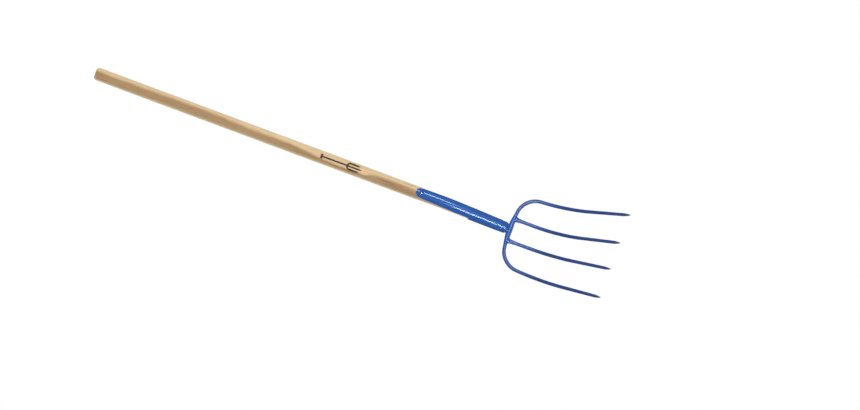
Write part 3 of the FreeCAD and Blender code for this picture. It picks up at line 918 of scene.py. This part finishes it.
def make_floor():
    """White floor: plain white to the camera, and much darker in reflections, as if flagged off."""
    t = Tree("pale_floor")
    path = t.add("ShaderNodeLightPath")
    white = t.add("ShaderNodeBsdfDiffuse", {"Color": (0.85, 0.85, 0.85, 1)})
    glow = t.add("ShaderNodeEmission", {"Strength": FLOOR_GLOW})
    lit = t.add("ShaderNodeAddShader")
    t.links.new(white.outputs[0], lit.inputs[0])
    t.links.new(glow.outputs[0], lit.inputs[1])
    level = t.add("ShaderNodeMapRange", {"Value": path.outputs["Is Camera Ray"]})
    level.inputs["To Min"].default_value = FLOOR_IN_REFLECTIONS
    level.inputs["To Max"].default_value = BACKDROP
    plain = t.add("ShaderNodeEmission", {"Strength": level.outputs["Result"]})
    direct = t.math("MAXIMUM", path.outputs["Is Camera Ray"], path.outputs["Is Glossy Ray"])
    pick = t.add("ShaderNodeMixShader", {"Fac": direct})
    t.links.new(lit.outputs[0], pick.inputs[1])
    t.links.new(plain.outputs[0], pick.inputs[2])
    output = t.add("ShaderNodeOutputMaterial")
    t.links.new(pick.outputs[0], output.inputs["Surface"])
    bpy.ops.mesh.primitive_plane_add(size=60, location=(0.4, 0, CAD_BOX[0].z - 1 * MM))
    floor = bpy.context.object
    floor.name = "floor"
    floor.data.materials.append(t.material)


def make_world():
    world = bpy.data.worlds.new("studio")
    world.use_nodes = True
    nodes = world.node_tree.nodes
    links = world.node_tree.links
    path = nodes.new("ShaderNodeLightPath")
    level = nodes.new("ShaderNodeMapRange")
    level.inputs["To Min"].default_value = WORLD_LEVEL
    level.inputs["To Max"].default_value = WORLD_IN_REFLECTIONS
    links.new(path.outputs["Is Glossy Ray"], level.inputs["Value"])
    seen = nodes.new("ShaderNodeMapRange")
    seen.inputs["To Max"].default_value = BACKDROP
    links.new(path.outputs["Is Camera Ray"], seen.inputs["Value"])
    links.new(level.outputs["Result"], seen.inputs["To Min"])
    background = nodes["Background"]
    background.inputs["Color"].default_value = (1, 1, 1, 1)
    links.new(seen.outputs["Result"], background.inputs["Strength"])
    bpy.context.scene.world = world


def softbox(name, along, across, distance, size, power, glossy=True, diffuse=True):
    """Area light over the fork, leaning along +X and across +Y by the given angles in degrees."""
    data = bpy.data.lights.new(name, "AREA")
    data.shape = "RECTANGLE"
    data.size, data.size_y = size
    data.energy = power
    light = bpy.data.objects.new(name, data)
    direction = Vector((math.tan(math.radians(along)), math.tan(math.radians(across)), 1)).normalized()
    side = Vector((1, 0, 0))
    side = (side - direction * side.dot(direction)).normalized()
    light.matrix_world = facing(side, direction, LIT_PLACE + direction * distance)
    light.visible_glossy = glossy
    light.visible_diffuse = diffuse
    bpy.context.scene.collection.objects.link(light)


def facing(right, back, place):
    """Placement whose local X is right and whose local Z is back."""
    placement = Matrix((right, back.cross(right), back)).transposed().to_4x4()
    placement.translation = place
    return placement


# The camera looks down at the fork from its right-hand side, rolled so that the handle slopes.
ELEVATION = math.radians(72)
ROLL = math.radians(20.4)
LENS = 400.0
SENSOR = 36.0
PICTURE_WIDTH = 2.365
AIM_BEHIND_BAR = 0.221
AIM_BELOW_AXIS = 0.0193


def make_camera():
    back = Vector((0, -math.cos(ELEVATION), math.sin(ELEVATION)))
    up = Vector((0, math.sin(ELEVATION), math.cos(ELEVATION)))
    aim = Vector((BOW_LOW.x * MM - AIM_BEHIND_BAR, 0, 0)) - up * AIM_BELOW_AXIS
    right = Vector((1, 0, 0)) * math.cos(ROLL) + up * math.sin(ROLL)
    data = bpy.data.cameras.new("camera")
    data.lens = LENS
    data.sensor_width = SENSOR
    data.clip_end = 200
    camera = bpy.data.objects.new("camera", data)
    camera.matrix_world = facing(right, back, aim + back * (PICTURE_WIDTH * LENS / SENSOR))
    bpy.context.scene.collection.objects.link(camera)
    bpy.context.scene.camera = camera


# ---- the fork -------------------------------------------------------------------------------------
finish_node("handle", varnished_ash())
zinc = bright_zinc()
finish_node("strap_rivet", zinc)
finish_node("rivet_washer", zinc)
enamel = blue_enamel("blue_enamel")
tine_enamel = blue_enamel("tine_enamel", tines=True)
make_socket(blue_enamel("sheet_enamel", sheet=True))
make_socket_weld(enamel)
make_bow(tine_enamel)
make_inner_tine(1, "inner_tine_steel_left", "inner_tine_left", tine_enamel)
make_inner_tine(-1, "inner_tine_steel_right", "inner_tine_right", tine_enamel)
make_inner_welds(enamel)

make_floor()
make_world()
make_camera()
# one light for the body colours, and three strips that are seen only as highlights
softbox("fill", 0, 15, 5.0, (2.0, 2.0), 100, glossy=False)
softbox("strip_a", 1.5, 20.5, 4.0, (0.70, 1.0), 50, diffuse=False)
softbox("strip_b", 14.0, -23, 4.0, (0.32, 1.0), 60, diffuse=False)
softbox("strip_c", 36, -40, 4.0, (0.6, 2.4), 200, diffuse=False)
bpy.context.scene.view_settings.view_transform = "Standard"
